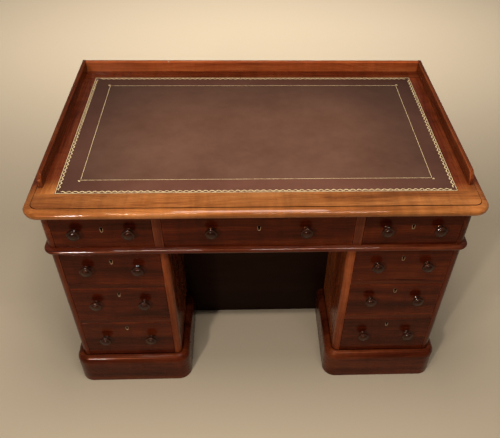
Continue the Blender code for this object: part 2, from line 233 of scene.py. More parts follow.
def between(tree, value, low, high, to_low=0.0, to_high=1.0):
    """A value taken from the range low to high into another range, and held inside that."""
    limits = {"Value": value, 1: low, 2: high, 3: to_low, 4: to_high}
    return node(tree, "MapRange", limits).outputs[0]


def arithmetic(tree, operation, first, second=0.0):
    """The outcome of a Math node on one or two values."""
    return node(tree, "Math", {0: first, 1: second}, operation=operation).outputs[0]


def weighed(tree, first, first_share, second, second_share):
    """The sum of two values, each times its share."""
    parts = [arithmetic(tree, "MULTIPLY", *part) for part in ((first, first_share), (second, second_share))]
    return arithmetic(tree, "ADD", *parts)


def blend(tree, share, first, second):
    """The first colour where the share is 0, the second where it is 1."""
    return node(tree, "Mix", {0: share, 6: first, 7: second}, data_type="RGBA").outputs[2]


def brightened(tree, colour, factor):
    """A colour with its three parts multiplied by a factor."""
    return node(tree, "VectorMath", {0: colour, 3: factor}, operation="SCALE").outputs[0]


def ramp(tree, value, *stops):
    """A colour ramp, each stop a place from 0 to 1 and a colour."""
    made = node(tree, "ValToRGB", {"Fac": value})
    elements = made.color_ramp.elements
    while len(elements) < len(stops):
        elements.new(0.5)
    for element, (place, colour) in zip(elements, stops):
        element.position = place
        element.color = (*colour, 1.0)
    return made.outputs["Color"]


def bumped(tree, height, strength, distance, **over):
    """The normal that a height gives a surface, over another normal where one is given."""
    inputs = {"Height": height, "Strength": strength, "Distance": distance, **over}
    return node(tree, "Bump", inputs).outputs[0]


def new_material(name):
    """A new material, its node tree, its shader, and the Object coordinates to paint it on."""
    made = bpy.data.materials.new(name)
    made.use_nodes = True
    tree = made.node_tree
    return made, tree, tree.nodes["Principled BSDF"], node(tree, "TexCoord").outputs["Object"]


GRAIN_TURN = {"x": (0.0, 0.0, 0.0), "y": (0.0, 0.0, -np.pi / 2), "z": (0.0, np.pi / 2, 0.0)}


def wood(name, grain, seed, colours, gloss, polish, figure=0.10, pores=0.35, faded=None):
    """Solid wood on Object coordinates with its grain along one axis: growth streaks, fine fibre,
    cross figure, cloudy patina, short dark pores, paler arrises and dark quirks by the wear, and
    under the polish the slow waves that a plane leaves. The last argument is a second set of
    colours, paler partly through fading and partly through painted light, and the y of the places
    where it begins and is complete."""
    made, tree, shader, place = new_material(name)
    shift = (0.731 * seed % 7.0, 1.137 * seed % 5.0, 0.419 * seed % 3.0)
    turned = node(
        tree, "Mapping", {"Vector": place, "Location": shift, "Rotation": GRAIN_TURN[grain]}
    ).outputs[0]
    sway = noise(tree, turned, (2.3, 5.0, 5.0))
    swing = node(tree, "CombineXYZ", {"Y": sway, "Z": sway}).outputs[0]
    swung = node(tree, "VectorMath", {0: swing, 3: 0.045}, operation="SCALE").outputs[0]
    along = node(tree, "VectorMath", {0: turned, 1: swung}, operation="ADD").outputs[0]
    streaks = noise(tree, along, (1.4, 21.0, 21.0), 4.0, 0.6, 0.5)
    fibre = noise(tree, along, (7.0, 300.0, 300.0), 3.0, 0.6)
    tone = weighed(tree, streaks, 0.62, fibre, 0.38)
    dark, middle, light = colours
    colour = ramp(tree, tone, (0.37, dark), (0.5, middle), (0.64, light))
    if faded:
        (pale_dark, pale_middle, pale_light), begins, complete = faded
        pale = ramp(tree, tone, (0.37, pale_dark), (0.5, pale_middle), (0.64, pale_light))
        y = node(tree, "SeparateXYZ", {0: place}).outputs["Y"]
        ragged = arithmetic(tree, "ADD", y, between(tree, sway, 0.3, 0.7, -0.03, 0.03))
        colour = blend(tree, between(tree, ragged, begins, complete), colour, pale)
    cross = noise(tree, along, (26.0, 3.2, 3.2), 2.0, 0.5, 1.2)
    shimmer = between(tree, cross, 0.3, 0.7, 1.0 - figure, 1.0 + figure)
    patina = between(tree, noise(tree, turned, (3.1, 3.1, 3.1)), 0.3, 0.7, 0.84, 1.14)
    pore = between(tree, noise(tree, along, (95.0, 1700.0, 1700.0), 1.0), 0.56, 0.72)
    depth = arithmetic(
        tree, "MULTIPLY", arithmetic(tree, "MULTIPLY", shimmer, patina),
        between(tree, pore, 0.0, 1.0, 1.0, 1.0 - pores),
    )
    shaded = brightened(tree, colour, depth)
    worn = node(tree, "Attribute", attribute_name="wear").outputs["Fac"]
    rubbed = arithmetic(
        tree, "MULTIPLY", between(tree, worn, 0.0, 1.0), between(tree, sway, 0.35, 0.65, 0.15, 0.6)
    )
    bared = blend(tree, rubbed, shaded, brightened(tree, shaded, 2.0))
    # Where the wear is below zero, in the quirks, the colour is darkened.
    darkening = between(tree, worn, -1.0, 0.0, 0.12, 1.0)
    smears = noise(tree, turned, (9.0, 34.0, 34.0), 3.0, 0.6)
    waves = noise(tree, turned, (9.0, 24.0, 24.0), 1.0)
    planed = bumped(tree, waves, 1.0, 0.0004)
    relief = arithmetic(tree, "SUBTRACT", arithmetic(tree, "MULTIPLY", fibre, 0.35), pore)
    feed(tree, shader, {
        "Base Color": brightened(tree, bared, darkening),
        "Roughness": between(tree, smears, 0.3, 0.75, gloss, gloss + 0.14),
        "Specular IOR Level": 0.2,
        "Specular Tint": (1.0, 0.30, 0.12, 1.0),
        "Normal": bumped(tree, relief, 0.25, 0.00012, Normal=planed),
        "Coat Weight": polish,
        "Coat Roughness": 0.04,
        "Coat IOR": 1.5,
        "Coat Normal": planed,
    })
    return made


MAHOGANY = ((0.023, 0.0032, 0.0011), (0.052, 0.0080, 0.0024), (0.092, 0.019, 0.0055))


def mahogany(name, grain, seed, colours=MAHOGANY, **changes):
    """French polished mahogany."""
    return wood(name, grain, seed, colours, **{"gloss": 0.20, "polish": 0.08, **changes})


PINE = ((0.20, 0.105, 0.042), (0.31, 0.175, 0.075), (0.42, 0.26, 0.125))


def pine(name, grain, seed):
    """Softwood, left from the plane, for what is out of sight."""
    return wood(name, grain, seed, PINE, gloss=0.55, polish=0.0, figure=0.05, pores=0.1)


# ----------------------------------------------------------
# Plinths. Each pedestal stands on a hollow plinth of mahogany: three straight faces with an ovolo
# worked along their top, carried round the front corners, and a deck that the case stands on.

CASE_CORNER = 0.018
OVOLO = 0.024
OVOLO_FLAT = 0.002
DECK_MARGIN = 0.004
PLINTH_WALL = 0.020
DECK_THICKNESS = 0.018
QUIRK = 0.0012
FOOT_EASE = 0.0015
FOOT_WEAR_HEIGHT = 0.012

for side, seed in (("left", 3), ("right", 11)):
    low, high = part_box("plinth_" + side)
    bend = np.linspace(0.0, np.pi / 2, 15)
    ovolo_foot = high.z - OVOLO
    levels = [(z, (PLINTH_WALL,) * 4, None) for z in (high.z - DECK_THICKNESS, low.z)]
    levels += [(low.z, FOOT_EASE, 0.8), (low.z + FOOT_EASE, 0.0, 0.8)]
    levels.append((low.z + FOOT_WEAR_HEIGHT, 0.0, 0.0))
    levels.append((ovolo_foot - OVOLO_FLAT, 0.0, 0.1))
    levels += [
        (ovolo_foot + OVOLO * np.sin(angle), (OVOLO - QUIRK) * (1 - np.cos(angle)), 0.3)
        for angle in bend
    ]
    levels[-1] = (high.z - QUIRK, OVOLO - QUIRK, -0.8)
    levels += [(high.z - QUIRK, OVOLO, -1.0), (high.z, OVOLO, -1.0)]
    levels.append((high.z, OVOLO + DECK_MARGIN, None))
    plinth = stacked(
        (low.x, high.x, low.y, high.y), (CASE_CORNER + OVOLO,) * 2 + (SQUARE,) * 2,
        levels, sides=(1, 1, 1, 0), steps=14,
    )
    piece("plinth_moulded_" + side, [plinth], [mahogany("plinth_polish_" + side, "x", seed)],
          "carcass", ["plinth_" + side])


# ----------------------------------------------------------
# Pedestal cases. Each has two sides of upright mahogany with a rounded front corner, a back of
# V-jointed boards, and a thin top board under the desk's waist. Two rails cross between the sides,
# with softwood runners and a thin dust board behind them for the drawers to slide on.

TOP_BOARD_THICKNESS = 0.009
RAIL_DEPTH = 0.030
RUNNER_WIDTH = 0.034
DUST_BOARD_THICKNESS = 0.006
BACK_BOARDS = 3
V_JOINT = 0.0016


def jointed_back(low, high):
    """Boards side by side as one solid: a flat front, and behind it a line that dips by the V of
    each joint where two boards meet. The outline is carried straight up."""
    joints = np.linspace(low[0], high[0], BACK_BOARDS + 1)[1:-1]
    across = np.concatenate([[high[0]], *[(j + V_JOINT, j, j - V_JOINT) for j in joints[::-1]], [low[0]]])
    dips = np.tile([0.0, V_JOINT, 0.0], BACK_BOARDS - 1)
    behind = high[1] - np.concatenate([[0.0], dips, [0.0]])
    x = np.concatenate([[low[0], high[0]], across])
    y = np.concatenate([[low[1], low[1]], behind])
    rings = [np.stack([x, y, np.full(len(x), z)], 1) for z in (low[2], high[2])]
    return closed_solid(rings, 0.0)


def cornered_board(low, high, side):
    """An upright board with its front corner on one side, -1 or 1, rounded like the case's."""
    front = (CASE_CORNER, EASE) if side < 0 else (EASE, CASE_CORNER)
    return board(low, high, EASE, front + (EASE, EASE), sides=(0, 0, 0, 0), steps=12)


# A lighter, more orange copy of the mahogany for the pedestals' inner sides: painted light on faces that
# turn towards the lamps.
LIT_INNER_SIDE = ((0.085, 0.0140, 0.0036), (0.160, 0.0330, 0.0085), (0.235, 0.062, 0.0170))

for side, sign in SIDES:
    for place, rounded in (("outer", sign), ("inner", -sign)):
        node_name = "pedestal_" + place + "_side_" + side
        low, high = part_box(node_name)
        upright = cornered_board(low, high, rounded)
        finish = mahogany("side_polish_" + place + "_" + side, "z", 17 + sign + 5 * len(place + side),
                          LIT_INNER_SIDE if place == "inner" else MAHOGANY)
        piece("pedestal_side_" + place + "_" + side, [upright], [finish], "carcass", [node_name])
    low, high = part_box("pedestal_back_" + side)
    back_finish = mahogany("back_stain_" + side, "z", 23 + sign, gloss=0.42, polish=0.1)
    piece("pedestal_back_boards_" + side, [jointed_back(low, high)], [back_finish],
          "carcass", ["pedestal_back_" + side])
    inner_low, inner_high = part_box("pedestal_inner_side_" + side)
    open_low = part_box("pedestal_back_" + side)[0].x
    open_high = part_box("pedestal_back_" + side)[1].x
    head = inner_high.z
    top_board = board(
        (open_low, inner_low.y, head - TOP_BOARD_THICKNESS + CLEARANCE), (open_high, low.y, head)
    )
    piece("pedestal_top_" + side, [top_board], [mahogany("top_rail_polish_" + side, "x", 31 + sign)],
          "carcass")
    for tier, seed in (("lower", 41), ("upper", 47)):
        low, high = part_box("divider_" + tier + "_" + side)
        rail = board((open_low, low.y, low.z), (open_high, low.y + RAIL_DEPTH, high.z),
                     ease=0.0006)
        piece("drawer_rail_" + tier + "_" + side, [rail],
              [mahogany("rail_polish_" + tier + "_" + side, "x", seed + sign)],
              "carcass", ["divider_" + tier + "_" + side])
        behind = low.y + RAIL_DEPTH
        panel_z = (low.z + high.z - DUST_BOARD_THICKNESS) / 2
        runners = [
            board((open_low, behind, low.z), (open_low + RUNNER_WIDTH, high.y, high.z)),
            board((open_high - RUNNER_WIDTH, behind, low.z), (open_high, high.y, high.z)),
            board((open_low + RUNNER_WIDTH, behind, panel_z),
                  (open_high - RUNNER_WIDTH, high.y, panel_z + DUST_BOARD_THICKNESS), ease=0.0004),
        ]
        softwood = [
            pine("runner_pine_" + tier + "_" + side, "y", seed),
            pine("dust_board_pine_" + tier + "_" + side, "x", seed + 9),
        ]
        piece("drawer_runners_" + tier + "_" + side, runners, softwood, "carcass",
              chosen=[0, 0, 1])


# ----------------------------------------------------------
# Upper case. Two ends with rounded front corners, a back and two partitions stand on a base board
# whose edge is a half-round waist bead, run along the front and both ends. Polished mahogany.

BEAD_WEAR = 0.35
PARTITION_RED = ((0.045, 0.008, 0.003), (0.085, 0.018, 0.007), (0.13, 0.034, 0.012))

low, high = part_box("frieze_base")
BEAD_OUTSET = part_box("frieze_end_left")[0].x - low.x
bend = np.linspace(0.0, np.pi, 25)
middle = (low.z + high.z) / 2
levels = [
    (middle - (high.z - low.z) / 2 * np.cos(angle), BEAD_OUTSET * (1 - np.sin(angle)), BEAD_WEAR)
    for angle in bend
]
levels = [(low.z, BEAD_OUTSET + SUPPORT, None)] + levels + [(high.z, BEAD_OUTSET + SUPPORT, None)]
base = stacked(
    (low.x, high.x, low.y, high.y), (CASE_CORNER + BEAD_OUTSET,) * 2 + (SQUARE,) * 2,
    levels, sides=(1, 1, 1, 0), steps=14,
)
piece("waist_bead_base", [base], [mahogany("bead_polish", "x", 53, polish=0.45)],
      "carcass", ["frieze_base"])

for side, sign in SIDES:
    low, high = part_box("frieze_end_" + side)
    piece("case_end_" + side, [cornered_board(low, high, sign)],
          [mahogany("case_end_polish_" + side, "y", 59 + sign)],
          "carcass", ["frieze_end_" + side])
    low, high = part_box("frieze_partition_" + side)
    piece("case_partition_" + side, [board(low, high, ease=0.0006)],
          [mahogany("partition_polish_" + side, "z", 67 + sign, PARTITION_RED)],
          "carcass", ["frieze_partition_" + side])

low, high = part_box("frieze_back")
piece("case_back", [board(low, high)], [mahogany("case_back_stain", "x", 71, gloss=0.42, polish=0.1)],
      "carcass", ["frieze_back"])


# ----------------------------------------------------------
# Modesty panel. A board closes the kneehole between the pedestals, almost black: a dark stain with
# painted shade on top of it. Its lower corners are scribed over the plinths, and it stops just
# clear of the floor.

# Near-black colours: a dark stain, made darker still as painted shade under the top.
DARK_STAIN_AND_SHADE = ((0.0020, 0.0011, 0.0006), (0.0036, 0.0019, 0.0010), (0.0068, 0.0034, 0.0018))

low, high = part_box("modesty_panel")
plinth_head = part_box("plinth_left")[1].z
inner_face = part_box("pedestal_inner_side_left")[1].x
bend = np.linspace(0.0, np.pi / 2, 13)
ovolo_x = inner_face + CLEARANCE + OVOLO * np.cos(bend)
ovolo_z = plinth_head - OVOLO + (OVOLO + CLEARANCE) * np.sin(bend)
left_x = np.concatenate([[inner_face + CLEARANCE], ovolo_x[::-1], [ovolo_x[0]]])
left_z = np.concatenate([[high.z], ovolo_z[::-1], [low.z]])
panel_x = np.concatenate([left_x, -left_x[::-1]])
panel_z = np.concatenate([left_z, left_z[::-1]])
faces_of_panel = [np.stack([panel_x, np.full(len(panel_x), y), panel_z], 1) for y in (low.y, high.y)]
panel_stain_and_shade = wood("ebonised_stain_and_shade", "x", 73, DARK_STAIN_AND_SHADE, gloss=0.40, polish=0.0, figure=0.05, pores=0.2)
piece("kneehole_panel", [closed_solid(faces_of_panel, 0.0)], [panel_stain_and_shade],
      "carcass", ["modesty_panel"])


# ----------------------------------------------------------
# Drawer fronts. Flush boards of well figured mahogany, each with a blind keyhole and a thread of
# brass let in round it. The tails of the drawer's sides show at its ends.

KEY_ROUND = 0.0038
KEY_SLOT = 0.0052
KEY_LENGTH = 0.0120
KEY_DEPTH = 0.016
THREAD_WIDTH = 0.0013
THREAD_PROUD = 0.00015
THREAD_DEPTH = 0.003
THREAD_EASE = 0.0002
PEDESTAL_KEY_DROP = 0.0228
FRIEZE_KEY_DROP = 0.0518
FRONT_EASE = 0.0009
FRONT_FLAT = 0.004

FRONTS = ((0.018, 0.0021, 0.0006), (0.044, 0.0052, 0.0012), (0.084, 0.0135, 0.0030))


def keyhole_reach(angle, grown):
    """How far a keyhole's edge is from its round's centre, for an angle from straight down: the
    round's radius, or the slot's side (half width over sine) or the slot's rounded end (where the
    ray leaves a circle as wide as the slot), whichever reaches further."""
    half = KEY_SLOT / 2 + grown
    end = KEY_LENGTH - KEY_SLOT / 2
    sine = np.abs(np.sin(angle))
    side = half / np.maximum(sine, 1e-6)
    round_end = end * np.cos(angle) + np.sqrt(np.maximum(half**2 - (end * sine) ** 2, 0.0))
    slot = np.where(end * sine < half, round_end, side) * (np.cos(angle) > 0)
    return np.maximum(KEY_ROUND + grown, slot)


def rays(angle, reach, centre_x, centre_z, y):
    """Points in an upright plane at a reach from a centre; the angle is from straight down."""
    x = centre_x + reach * np.sin(angle)
    z = centre_z - reach * np.cos(angle)
    return np.stack([x, np.broadcast_to(y, x.shape), z], 1)


def keyed_front(low, high, key_x, key_z):
    """A drawer front as rings about its keyhole: the hole's floor, its rim, then rectangles that
    grow to the eased arris, and so back to the rear face. A rectangle's reach along a ray is the
    least of the distances to its four sides, each over the cosine of the turn from its normal."""
    corners = [np.arctan2(x - key_x, key_z - z) for x in (low.x, high.x) for z in (low.z, high.z)]
    angle = np.unique(np.concatenate([np.linspace(-np.pi, np.pi, 73)[:-1], corners]))
    room = np.array([key_z - low.z, high.x - key_x, high.z - key_z, key_x - low.x])[:, None]
    turn = np.cos(angle - np.array([0.0, np.pi / 2, np.pi, -np.pi / 2])[:, None])

    def rectangle(inset, y):
        """A ring on the front's outline, drawn in by an inset, at a depth."""
        reach = np.where(turn > 1e-6, (room - inset) / np.maximum(turn, 1e-6), np.inf).min(0)
        return rays(angle, reach, key_x, key_z, y)

    bend = np.linspace(0.0, np.pi / 2, 5)
    hole = keyhole_reach(angle, THREAD_WIDTH)
    rings = [rays(angle, hole, key_x, key_z, y) for y in (low.y + KEY_DEPTH, low.y)]
    rings.append(rectangle(FRONT_FLAT, low.y))
    rings += [
        rectangle(FRONT_EASE * (1 - np.sin(a)), low.y + FRONT_EASE * (1 - np.cos(a))) for a in bend
    ]
    rings += [rectangle(0.0, low.y + FRONT_FLAT), rectangle(0.0, high.y)]
    worn = np.array([0.0, 0.0, 0.0] + [1.0] * len(bend) + [0.0, 0.0])
    return closed_solid(rings, worn[:, None])


def key_thread(key_x, key_z, front_y):
    """The brass thread: keyhole outlines, outer and inner, front and back, joined in a loop. Its
    upper part is darkened, the more as the cosine of the angle from straight down falls."""
    angle = np.linspace(-np.pi, np.pi, 49)[:-1]
    inner, outer = keyhole_reach(angle, 0.0), keyhole_reach(angle, THREAD_WIDTH)
    front, back = front_y - THREAD_PROUD, front_y + THREAD_DEPTH
    section = (
        (outer, back), (outer, front + THREAD_EASE), (outer - THREAD_EASE, front),
        (inner + THREAD_EASE, front), (inner, front + THREAD_EASE), (inner, back),
    )
    rings = [rays(angle, reach, key_x, key_z, y) for reach, y in section]
    return closed_solid(rings, -np.clip(0.4 - 1.6 * np.cos(angle), 0.0, 1.0), looped=True)


def brass(name, bright, tarnish, seed):
    """Old lacquered brass: tarnish gathers in clouds, fine scratches break the polish."""
    made, tree, shader, place = new_material(name)
    moved = node(tree, "Mapping", {"Vector": place, "Location": (seed, 0.3 * seed, 0.0)}).outputs[0]
    clouds = between(tree, noise(tree, moved, (160.0,) * 3, 3.0, 0.6), 0.38, 0.66)
    worn = node(tree, "Attribute", attribute_name="wear").outputs["Fac"]
    # Where the wear is below zero the metal is darkened.
    darkening = between(tree, worn, -1.0, 0.0, 0.16, 1.0)
    metal = brightened(tree, blend(tree, clouds, (*bright, 1), (*tarnish, 1)), darkening)
    scratches = noise(tree, moved, (900.0, 900.0, 90.0), 2.0)
    rough = arithmetic(tree, "ADD", between(tree, clouds, 0.0, 1.0, 0.22, 0.42),
                       arithmetic(tree, "MULTIPLY", scratches, 0.12))
    feed(tree, shader, {"Base Color": metal, "Roughness": rough, "Metallic": 1.0,
                        "Normal": bumped(tree, scratches, 0.15, 0.00005)})
    return made


drawers = sorted(body for body in frame["bodies"] if body.endswith("_drawer"))
key_places = {}
thread_brass = brass("thread_brass", (0.70, 0.54, 0.37), (0.46, 0.31, 0.19), 2.0)
for number, drawer in enumerate(drawers):
    low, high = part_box(drawer + "_front")
    drop = FRIEZE_KEY_DROP if drawer.startswith("frieze") else PEDESTAL_KEY_DROP
    key_x, key_z = (low.x + high.x) / 2, high.z - drop
    key_places[drawer] = (key_x, key_z)
    finish = mahogany(drawer + "_polish", "x", 80 + 7 * number, FRONTS, figure=0.16)
    piece(drawer + "_face", [keyed_front(low, high, key_x, key_z)], [finish],
          drawer, [drawer + "_front"])
    piece(drawer + "_key_thread", [key_thread(key_x, key_z, low.y)], [thread_brass],
          drawer)


# ----------------------------------------------------------
# Drawer linings. Sides dovetailed into the front, a lower back, a thin bottom with its grain from
# side to side, and a quadrant slip along each side over the bottom. Pale cabinet wood, waxed.

LINING = ((0.21, 0.115, 0.050), (0.30, 0.175, 0.082), (0.39, 0.245, 0.125))
LINING_SIDE = 0.009
LINING_EASE = 0.0012
LINING_BACK_DROP = 0.006
BOTTOM_THICKNESS = 0.006
BOTTOM_LIFT = 0.001
SLIP = 0.007
TAIL_LENGTH = 0.015
TAIL_LAP = 0.001
TAIL_PITCH = 0.030
TAIL_ROOT_SHARE = 0.30
TAIL_TIP_SHARE = 0.40
TAIL_PROUD = 0.00015


def wedge(y_root, y_tip, z_middle, root_half, tip_half, x_low, x_high):
    """A dovetail's tail: four corners, wider at the tip than at the root, carried across in x."""
    y = np.array([y_root, y_tip, y_tip, y_root])
    z = z_middle + np.array([-root_half, -tip_half, tip_half, root_half])
    return closed_solid([np.stack([np.full(4, x), y, z], 1) for x in (x_low, x_high)], 0.0)


def quadrant(x_corner, x_sign, y_low, y_high, z_low):
    """A quarter-round slip: the corner's point and an arc about it, carried along in y."""
    bend = np.linspace(0.0, np.pi / 2, 7)
    x = x_corner + x_sign * SLIP * np.concatenate([[0.0], np.cos(bend)])
    z = z_low + SLIP * np.concatenate([[0.0], np.sin(bend)])
    return closed_solid([np.stack([x, np.full(8, y), z], 1) for y in (y_low, y_high)], 0.0)


for number, drawer in enumerate(drawers):
    low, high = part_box(drawer + "_box")
    floor_z = low.z + BOTTOM_THICKNESS
    solids = []
    for inner_x, x_sign in ((low.x + LINING_SIDE, 1), (high.x - LINING_SIDE, -1)):
        outer_x = inner_x - x_sign * LINING_SIDE
        near, far = sorted((outer_x, inner_x))
        solids.append(board((near, low.y, low.z), (far, high.y, high.z), LINING_EASE))
        solids.append(quadrant(inner_x, x_sign, low.y, high.y - LINING_SIDE, floor_z))
        tails = max(2, round((high.z - low.z) / TAIL_PITCH))
        pitch = (high.z - low.z) / tails
        near, far = sorted((outer_x - x_sign * TAIL_PROUD, inner_x))
        solids += [
            wedge(low.y + TAIL_LAP, low.y - TAIL_LENGTH, low.z + (tail + 0.5) * pitch,
                  TAIL_ROOT_SHARE * pitch, TAIL_TIP_SHARE * pitch, near, far)
            for tail in range(tails)
        ]
    side_count = len(solids)
    inside_low, inside_high = low.x + LINING_SIDE, high.x - LINING_SIDE
    solids.append(board((inside_low, high.y - LINING_SIDE, low.z),
                        (inside_high, high.y, high.z - LINING_BACK_DROP), LINING_EASE))
    solids.append(board((inside_low, low.y, low.z + BOTTOM_LIFT),
                        (inside_high, high.y - LINING_SIDE, floor_z), ease=0.0004))
    finishes = [
        wood(drawer + "_side_wax", "y", 300 + 3 * number, LINING,
             gloss=0.42, polish=0.08, figure=0.06, pores=0.25),
        wood(drawer + "_bottom_wax", "x", 400 + 5 * number, LINING,
             gloss=0.46, polish=0.05, figure=0.06, pores=0.25),
    ]
    piece(drawer + "_lining", solids, finishes, drawer, [drawer + "_box"],
          chosen=[0] * side_count + [1, 1])


# ----------------------------------------------------------
# Locks. A brass case screwed to the inside of each front behind its keyhole, with a selvedge plate
# let into the top edge of the front.

LOCK_WIDTH = 0.058
LOCK_DEPTH = 0.0095
LOCK_BELOW_KEY = 0.014
LOCK_BELOW_TOP = 0.004
LOCK_EASE = 0.0012
PLATE_SHOULDER = 0.009
PLATE_FOOT = 0.004
PLATE_LET_IN = 0.001
PLATE_PROUD = 0.0014
SELVEDGE_DEPTH = 0.011
SELVEDGE_LAP = 0.001
SELVEDGE_PROUD = 0.0002
SELVEDGE_THICKNESS = 0.0016
SCREW_RADIUS = 0.0028
SCREW_RISE = 0.0008
SCREW_FROM_END = 0.0045
SCREW_ABOVE_FOOT = 0.003
SCREW_BELOW_HEAD = 0.006

lock_brass = brass("lock_brass", (0.62, 0.44, 0.21), (0.27, 0.17, 0.075), 7.0)


def screw_head(x, z, y):
    """A domed screw head on an upright face: rings that shrink as they rise from it."""
    angle = np.linspace(0.0, 2 * np.pi, 17)[:-1]
    rise = np.linspace(0.0, np.pi / 2, 5)[:-1]
    rings = [
        rays(angle, np.full(16, SCREW_RADIUS * np.cos(a)), x, z, y + SCREW_RISE * np.sin(a)) for a in rise
    ]
    return closed_solid(rings, 0.0)


for drawer in drawers:
    key_x, key_z = key_places[drawer]
    low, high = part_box(drawer + "_front")
    half = LOCK_WIDTH / 2
    case_foot = key_z - LOCK_BELOW_KEY
    case_head = high.z - LOCK_BELOW_TOP
    plate = board((key_x - half, high.y - PLATE_LET_IN, case_foot - PLATE_FOOT),
                  (key_x + half, high.y + PLATE_PROUD, high.z), ease=0.0004)
    case = board((key_x - half + PLATE_SHOULDER, high.y, case_foot),
                 (key_x + half - PLATE_SHOULDER, high.y + LOCK_DEPTH, case_head), LOCK_EASE, axis="y")
    selvedge = board((key_x - half, high.y - SELVEDGE_DEPTH, high.z - SELVEDGE_THICKNESS),
                     (key_x + half, high.y + SELVEDGE_LAP, high.z + SELVEDGE_PROUD), ease=0.0002)
    screws = [
        screw_head(key_x + sign * (half - SCREW_FROM_END), z, high.y + PLATE_PROUD)
        for sign in (-1, 1) for z in (case_foot + SCREW_ABOVE_FOOT, case_head - SCREW_BELOW_HEAD)
    ]
    piece(drawer + "_lock", [plate, case, selvedge] + screws, [lock_brass], drawer)


# ----------------------------------------------------------
# Knobs. Turned in one piece: a bead at the foot, a waisted neck, and a mushroom head with a rolled
# rim, a narrow flat and a domed boss. Two to each drawer, darker than the fronts with handling.
# The lengths are along the knob's axis, from the drawer outwards.

KNOB_SIDES = 40
KNOB_WEAR = 0.1
SPIGOT = 0.012
FOOT_LENGTH = 0.0036
FOOT_RADIUS = 0.0090
FOOT_SWELL = 0.0015
NECK_LENGTH = 0.0074
NECK_RADIUS = 0.0086
NECK_WAIST = 0.0022
CUP_LENGTH = 0.0065
RIM_LENGTH = 0.0036
RIM_ROUND = 0.0018
RIM_CREST = 0.28
RIM_TURN = 0.7
FLAT_RISE = 0.0002
FLAT_INSET = 0.0030
FLAT_WIDTH = 0.0022
BOSS_LENGTH = 0.0052
BOSS_INSET = 0.0055
LEAST_TURNED = 0.0003
TURNERY = ((0.0085, 0.0022, 0.0010), (0.0165, 0.0040, 0.0018), (0.032, 0.0085, 0.0036))


def turned_knob(low, high):
    """The knob's profile of reach against radius, stretched to the CAD knob's length and turned
    about a line in y. The parts in order are a foot bead that swells as a sine, a neck that waists
    as a sine, the cup under the head as a quarter ellipse, the rim that rolls over as a cosine,
    a flat, and the boss as a quarter ellipse."""
    radius = (high.x - low.x) / 2
    bend = np.linspace(0.0, 1.0, 9)
    quarter = bend * np.pi / 2
    roll = np.pi * (bend - RIM_CREST) * RIM_TURN
    parts = [
        (FOOT_LENGTH * bend, FOOT_RADIUS + FOOT_SWELL * np.sin(np.pi * bend)),
        (NECK_LENGTH * bend, NECK_RADIUS - NECK_WAIST * np.sin(np.pi * bend)),
        (CUP_LENGTH * (1 - np.cos(quarter)), NECK_RADIUS + (radius - NECK_RADIUS) * np.sin(quarter)),
        (RIM_LENGTH * bend, radius - RIM_ROUND + RIM_ROUND * np.cos(roll)),
        (FLAT_RISE * bend, (radius - FLAT_INSET) - FLAT_WIDTH * bend),
        (BOSS_LENGTH * np.sin(quarter), (radius - BOSS_INSET) * np.cos(quarter)),
    ]
    starts = np.cumsum([0.0, FOOT_LENGTH, NECK_LENGTH, CUP_LENGTH, RIM_LENGTH, FLAT_RISE])
    reach = np.concatenate([start + part[0] for start, part in zip(starts, parts)])
    around = np.clip(np.concatenate([part[1] for part in parts]), LEAST_TURNED, radius)
    reach *= (high.y - low.y - SPIGOT) / reach.max()
    angle = np.linspace(0.0, 2 * np.pi, KNOB_SIDES + 1)[:-1]
    middle_x, middle_z = (low.x + high.x) / 2, (low.z + high.z) / 2
    seat = high.y - SPIGOT
    rings = [
        rays(angle, np.full(KNOB_SIDES, r), middle_x, middle_z, seat - out) for out, r in zip(reach, around)
    ]
    return closed_solid(rings, KNOB_WEAR)


for number, drawer in enumerate(drawers):
    for side in ("left", "right"):
        knob_name = drawer + "_knob_" + side
        knob = turned_knob(*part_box(knob_name))
        finish = wood(knob_name + "_polish", "y", 500 + 11 * number + len(side), TURNERY,
                      gloss=0.14, polish=0.40, figure=0.05, pores=0.2)
        piece(drawer + "_turned_knob_" + side, [knob], [finish], drawer, [knob_name])


# ----------------------------------------------------------
# Top. A frame of solid mahogany round a plain ground board: rails along the front and the back,
# ends between them. A thumb moulding, set down by a small step, runs round the front and both
# ends. The front rail is paler, partly bleached by light and handling and partly painted sheen
# and light, and the ends turn to its colour towards the front, painted light where the shade
# beside the gallery stops.

TOP_CORNER = 0.043
NOSE_DEPTH = 0.022
NOSE_STEP = 0.0016
NOSE_UNDERCUT = 0.006
NOSE_LOWER = 0.011
NOSE_WEAR = 0.25
ARRIS = 0.0006
JOINT = 0.00015
GROUND_DROP = 0.0002

low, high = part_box("top_board")
skiver_low, skiver_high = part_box("leather_skiver")
turn = np.linspace(0.0, np.pi / 2, 21)
nose_rise = high.z - low.z - NOSE_LOWER - NOSE_STEP
nose = [(low.z, NOSE_UNDERCUT + SUPPORT, None)]
nose += [(low.z + NOSE_LOWER * (1 - np.cos(a)), NOSE_UNDERCUT * (1 - np.sin(a)), 0.0) for a in turn[::3]]
nose += [
    (low.z + NOSE_LOWER + nose_rise * np.sin(a), (NOSE_DEPTH - QUIRK) * (1 - np.cos(a)),
     NOSE_WEAR * np.sin(a))
    for a in turn[1:]
]
step_foot = nose[-1][0]
nose[-1] = (step_foot, NOSE_DEPTH - QUIRK, -0.9)
nose += [(step_foot - QUIRK, NOSE_DEPTH - QUIRK / 2, -1.0), (step_foot, NOSE_DEPTH, -1.0)]
nose += [(high.z - ARRIS, NOSE_DEPTH, -0.7), (high.z, NOSE_DEPTH + ARRIS, 0.0)]
nose += [(high.z, NOSE_DEPTH + SUPPORT, None)]

